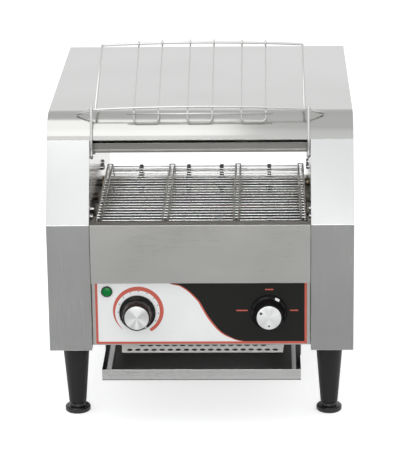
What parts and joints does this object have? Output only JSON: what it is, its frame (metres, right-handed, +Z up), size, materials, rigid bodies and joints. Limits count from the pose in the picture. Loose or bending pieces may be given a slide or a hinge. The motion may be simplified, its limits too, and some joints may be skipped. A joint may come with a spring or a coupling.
{
  "type": "conveyor toaster",
  "caption": "Countertop conveyor toaster with a wire feed rack, a wire belt, tubes above and below it, and a slide down to a pull-out bread tray.",
  "frame": {"origin": "under the middle of the object, on the plane the feet stand on", "axes": "+X to the right side seen from the front, +Y to the back, +Z up"},
  "size_m": [0.368, 0.447, 0.4388],
  "materials": {
    "outer_steel": "brushed",
    "panel_steel": "brushed",
    "chamber_steel": "bright rolled",
    "wire_steel": "bright wire",
    "fastener_steel": "zinc plated",
    "machined_steel": "turned and milled",
    "heater_tube": "heat darkened",
    "ceramic": "glazed ceramic",
    "bearing_bronze": "sintered bronze",
    "black_plastic": "satin moulded",
    "knob_plastic": "satin moulded",
    "rubber": "matt",
    "knob_face": "turned",
    "motor_metal": "painted",
    "electric_parts": "moulded",
    "printed_film": "printed",
    "green_lens": "clear moulded"
  },
  "bodies": {
    "body": {"side_panel_left": "outer_steel", "side_panel_right": "outer_steel", "top_cover": "outer_steel", "rear_panel": "outer_steel", "base_pan": "panel_steel", "front_apron": "outer_steel", "control_panel": "panel_steel", "control_film": "printed_film", "lamp_bezel": "knob_plastic", "lamp_lens": "green_lens", "inner_wall_left": "chamber_steel", "inner_wall_right": "chamber_steel", "lintel": "panel_steel", "upper_reflector": "chamber_steel", "lower_reflector": "chamber_steel", "upper_heaters": "heater_tube", "lower_heaters": "heater_tube", "heater_caps": "ceramic", "belt_top_run": "wire_steel", "belt_rear_wrap": "wire_steel", "belt_bottom_run": "wire_steel", "belt_front_wrap": "wire_steel", "shaft_bearings": "bearing_bronze", "wall_screws": "fastener_steel", "drive_chain": "machined_steel", "gear_motor": "motor_metal", "fan_frame": "black_plastic", "slide_grille": "panel_steel", "rear_slide": "panel_steel", "tray_rails": "panel_steel", "legs": "black_plastic", "leg_bolts": "fastener_steel", "rack_studs": "fastener_steel", "speed_control": "electric_parts", "heat_switch": "electric_parts", "rear_screws": "fastener_steel", "cord_gland": "black_plastic"},
    "drive_shaft": {"front_shaft": "machined_steel", "front_sprockets": "machined_steel", "chain_wheel": "machined_steel"},
    "idle_shaft": {"rear_shaft": "machined_steel", "rear_sprockets": "machined_steel"},
    "motor_drive": {"motor_shaft": "machined_steel", "motor_wheel": "machined_steel"},
    "fan": {"fan_rotor": "black_plastic"},
    "tray": {"bread_tray": "panel_steel"},
    "feed_rack": {"rack_frame": "wire_steel", "rack_hairpins": "wire_steel", "rack_rod": "wire_steel", "rack_legs": "wire_steel"},
    "speed_dial": {"speed_knob": "knob_plastic", "speed_knob_face": "knob_face", "speed_spindle": "machined_steel"},
    "heat_dial": {"heat_knob": "knob_plastic", "heat_knob_face": "knob_face", "heat_spindle": "machined_steel"},
    "front_left_foot": {"foot_front_left": "rubber"},
    "front_right_foot": {"foot_front_right": "rubber"},
    "rear_left_foot": {"foot_rear_left": "rubber"},
    "rear_right_foot": {"foot_rear_right": "rubber"}
  },
  "joints": [
    {"name": "belt_drive", "type": "hinge", "parent": "body", "child": "drive_shaft", "pos_m": [0, -0.1645, 0.22836], "axis": [-1, 0, 0], "continuous": true, "deforming": ["belt_top_run", "belt_rear_wrap", "belt_bottom_run", "belt_front_wrap", "drive_chain"]},
    {"name": "belt_return", "type": "hinge", "parent": "body", "child": "idle_shaft", "pos_m": [0, 0.0707, 0.22836], "axis": [-1, 0, 0], "continuous": true},
    {"name": "motor_turn", "type": "hinge", "parent": "body", "child": "motor_drive", "pos_m": [0.154, -0.10052, 0.1578], "axis": [-1, 0, 0], "continuous": true},
    {"name": "fan_turn", "type": "hinge", "parent": "body", "child": "fan", "pos_m": [-0.06, 0.1945, 0.135], "axis": [0, 1, 0], "continuous": true},
    {"name": "tray_pull", "type": "slide", "parent": "body", "child": "tray", "axis": [0, -1, 0], "range_m": [0, 0.24]},
    {"name": "rack_tilt", "type": "hinge", "parent": "body", "child": "feed_rack", "pos_m": [0, -0.16697, 0.33298], "axis": [1, 0, 0], "range_deg": [0, 155]},
    {"name": "speed_turn", "type": "hinge", "parent": "body", "child": "speed_dial", "pos_m": [-0.0771, -0.2105, 0.145], "axis": [0, -1, 0], "range_deg": [0, 270]},
    {"name": "heat_turn", "type": "hinge", "parent": "body", "child": "heat_dial", "pos_m": [0.082, -0.2105, 0.145], "axis": [0, -1, 0], "range_deg": [-55, 125]},
    {"name": "front_left_foot_turn", "type": "hinge", "parent": "body", "child": "front_left_foot", "pos_m": [-0.1565, -0.1555, 0.02], "axis": [0, 0, 1], "continuous": true},
    {"name": "front_right_foot_turn", "type": "hinge", "parent": "body", "child": "front_right_foot", "pos_m": [0.1565, -0.1555, 0.02], "axis": [0, 0, 1], "continuous": true},
    {"name": "rear_left_foot_turn", "type": "hinge", "parent": "body", "child": "rear_left_foot", "pos_m": [-0.1565, 0.1545, 0.02], "axis": [0, 0, 1], "continuous": true},
    {"name": "rear_right_foot_turn", "type": "hinge", "parent": "body", "child": "rear_right_foot", "pos_m": [0.1565, 0.1545, 0.02], "axis": [0, 0, 1], "continuous": true}
  ],
  "couplings": [
    {"joint": "belt_return", "follows": "belt_drive", "ratio": 1},
    {"joint": "motor_turn", "follows": "belt_drive", "ratio": 1}
  ]
}
